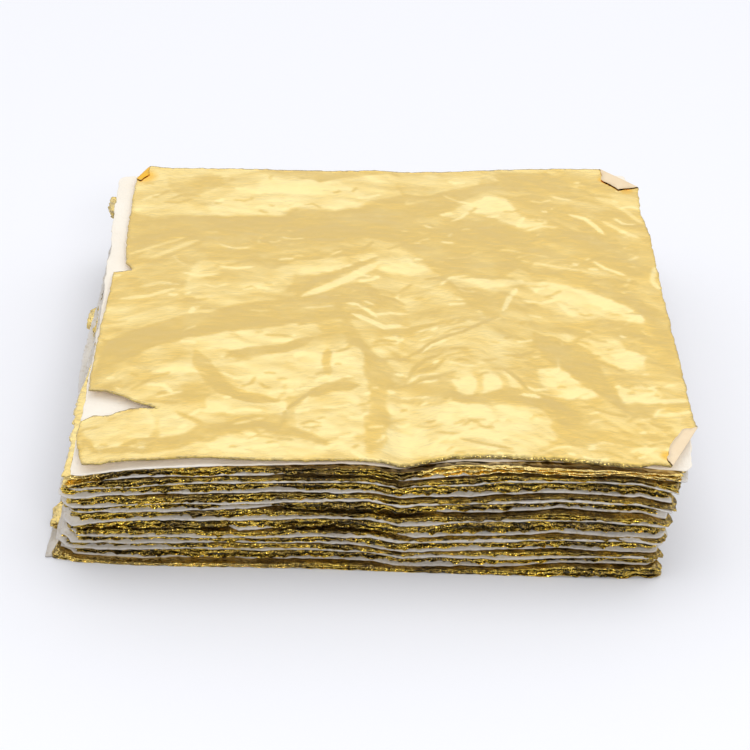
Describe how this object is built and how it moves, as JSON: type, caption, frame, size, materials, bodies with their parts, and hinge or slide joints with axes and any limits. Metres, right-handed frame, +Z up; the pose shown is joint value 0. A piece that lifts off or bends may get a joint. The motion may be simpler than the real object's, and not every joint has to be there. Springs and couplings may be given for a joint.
{
  "type": "gold leaf pack",
  "caption": "Square pack of crinkled gold leaf laid loose between soft paper interleaves, with ragged edges, a torn top leaf and turned-over corners.",
  "frame": {"origin": "middle of the bottom interleaf's underside, on the surface that the pack lies on", "axes": "+Z up through the pack, -Y towards the front edge with the dip in it, +X to the right"},
  "size_m": [0.1553, 0.1481, 0.0319],
  "materials": {
    "leaf": "satin",
    "interleaf": "matte"
  },
  "bodies": {
    "interleaf_01": {"interleaf_01": "interleaf"},
    "gold_leaf_01": {"gold_leaf_01": "leaf"},
    "interleaf_02": {"interleaf_02": "interleaf"},
    "gold_leaf_02": {"gold_leaf_02": "leaf"},
    "interleaf_03": {"interleaf_03": "interleaf"},
    "gold_leaf_03": {"gold_leaf_03": "leaf"},
    "interleaf_04": {"interleaf_04": "interleaf"},
    "gold_leaf_04": {"gold_leaf_04": "leaf"},
    "interleaf_05": {"interleaf_05": "interleaf"},
    "gold_leaf_05": {"gold_leaf_05": "leaf"},
    "interleaf_06": {"interleaf_06": "interleaf"},
    "gold_leaf_06": {"gold_leaf_06": "leaf"},
    "interleaf_07": {"interleaf_07": "interleaf"},
    "gold_leaf_07": {"gold_leaf_07": "leaf"},
    "interleaf_08": {"interleaf_08": "interleaf"},
    "gold_leaf_08": {"gold_leaf_08": "leaf"},
    "interleaf_09": {"interleaf_09": "interleaf"},
    "gold_leaf_09": {"gold_leaf_09": "leaf"},
    "interleaf_10": {"interleaf_10": "interleaf"},
    "gold_leaf_10": {"gold_leaf_10": "leaf"},
    "interleaf_11": {"interleaf_11": "interleaf"},
    "gold_leaf_11": {"gold_leaf_11": "leaf"},
    "interleaf_12": {"interleaf_12": "interleaf"},
    "gold_leaf_12": {"gold_leaf_12": "leaf"},
    "interleaf_13": {"interleaf_13": "interleaf"},
    "gold_leaf_13": {"gold_leaf_13": "leaf"}
  },
  "joints": [
    {"name": "lift_gold_leaf_01", "type": "slide", "parent": "interleaf_01", "child": "gold_leaf_01", "axis": [0, 0, 1], "range_m": [0, 0.025]},
    {"name": "lift_interleaf_02", "type": "slide", "parent": "gold_leaf_01", "child": "interleaf_02", "axis": [0, 0, 1], "range_m": [0, 0.025]},
    {"name": "lift_gold_leaf_02", "type": "slide", "parent": "interleaf_02", "child": "gold_leaf_02", "axis": [0, 0, 1], "range_m": [0, 0.025]},
    {"name": "lift_interleaf_03", "type": "slide", "parent": "gold_leaf_02", "child": "interleaf_03", "axis": [0, 0, 1], "range_m": [0, 0.025]},
    {"name": "lift_gold_leaf_03", "type": "slide", "parent": "interleaf_03", "child": "gold_leaf_03", "axis": [0, 0, 1], "range_m": [0, 0.025]},
    {"name": "lift_interleaf_04", "type": "slide", "parent": "gold_leaf_03", "child": "interleaf_04", "axis": [0, 0, 1], "range_m": [0, 0.025]},
    {"name": "lift_gold_leaf_04", "type": "slide", "parent": "interleaf_04", "child": "gold_leaf_04", "axis": [0, 0, 1], "range_m": [0, 0.025]},
    {"name": "lift_interleaf_05", "type": "slide", "parent": "gold_leaf_04", "child": "interleaf_05", "axis": [0, 0, 1], "range_m": [0, 0.025]},
    {"name": "lift_gold_leaf_05", "type": "slide", "parent": "interleaf_05", "child": "gold_leaf_05", "axis": [0, 0, 1], "range_m": [0, 0.025]},
    {"name": "lift_interleaf_06", "type": "slide", "parent": "gold_leaf_05", "child": "interleaf_06", "axis": [0, 0, 1], "range_m": [0, 0.025]},
    {"name": "lift_gold_leaf_06", "type": "slide", "parent": "interleaf_06", "child": "gold_leaf_06", "axis": [0, 0, 1], "range_m": [0, 0.025]},
    {"name": "lift_interleaf_07", "type": "slide", "parent": "gold_leaf_06", "child": "interleaf_07", "axis": [0, 0, 1], "range_m": [0, 0.025]},
    {"name": "lift_gold_leaf_07", "type": "slide", "parent": "interleaf_07", "child": "gold_leaf_07", "axis": [0, 0, 1], "range_m": [0, 0.025]},
    {"name": "lift_interleaf_08", "type": "slide", "parent": "gold_leaf_07", "child": "interleaf_08", "axis": [0, 0, 1], "range_m": [0, 0.025]},
    {"name": "lift_gold_leaf_08", "type": "slide", "parent": "interleaf_08", "child": "gold_leaf_08", "axis": [0, 0, 1], "range_m": [0, 0.025]},
    {"name": "lift_interleaf_09", "type": "slide", "parent": "gold_leaf_08", "child": "interleaf_09", "axis": [0, 0, 1], "range_m": [0, 0.025]},
    {"name": "lift_gold_leaf_09", "type": "slide", "parent": "interleaf_09", "child": "gold_leaf_09", "axis": [0, 0, 1], "range_m": [0, 0.025]},
    {"name": "lift_interleaf_10", "type": "slide", "parent": "gold_leaf_09", "child": "interleaf_10", "axis": [0, 0, 1], "range_m": [0, 0.025]},
    {"name": "lift_gold_leaf_10", "type": "slide", "parent": "interleaf_10", "child": "gold_leaf_10", "axis": [0, 0, 1], "range_m": [0, 0.025]},
    {"name": "lift_interleaf_11", "type": "slide", "parent": "gold_leaf_10", "child": "interleaf_11", "axis": [0, 0, 1], "range_m": [0, 0.025]},
    {"name": "lift_gold_leaf_11", "type": "slide", "parent": "interleaf_11", "child": "gold_leaf_11", "axis": [0, 0, 1], "range_m": [0, 0.025]},
    {"name": "lift_interleaf_12", "type": "slide", "parent": "gold_leaf_11", "child": "interleaf_12", "axis": [0, 0, 1], "range_m": [0, 0.025]},
    {"name": "lift_gold_leaf_12", "type": "slide", "parent": "interleaf_12", "child": "gold_leaf_12", "axis": [0, 0, 1], "range_m": [0, 0.025]},
    {"name": "lift_interleaf_13", "type": "slide", "parent": "gold_leaf_12", "child": "interleaf_13", "axis": [0, 0, 1], "range_m": [0, 0.025]},
    {"name": "lift_gold_leaf_13", "type": "slide", "parent": "interleaf_13", "child": "gold_leaf_13", "axis": [0, 0, 1], "range_m": [0, 0.025]}
  ]
}
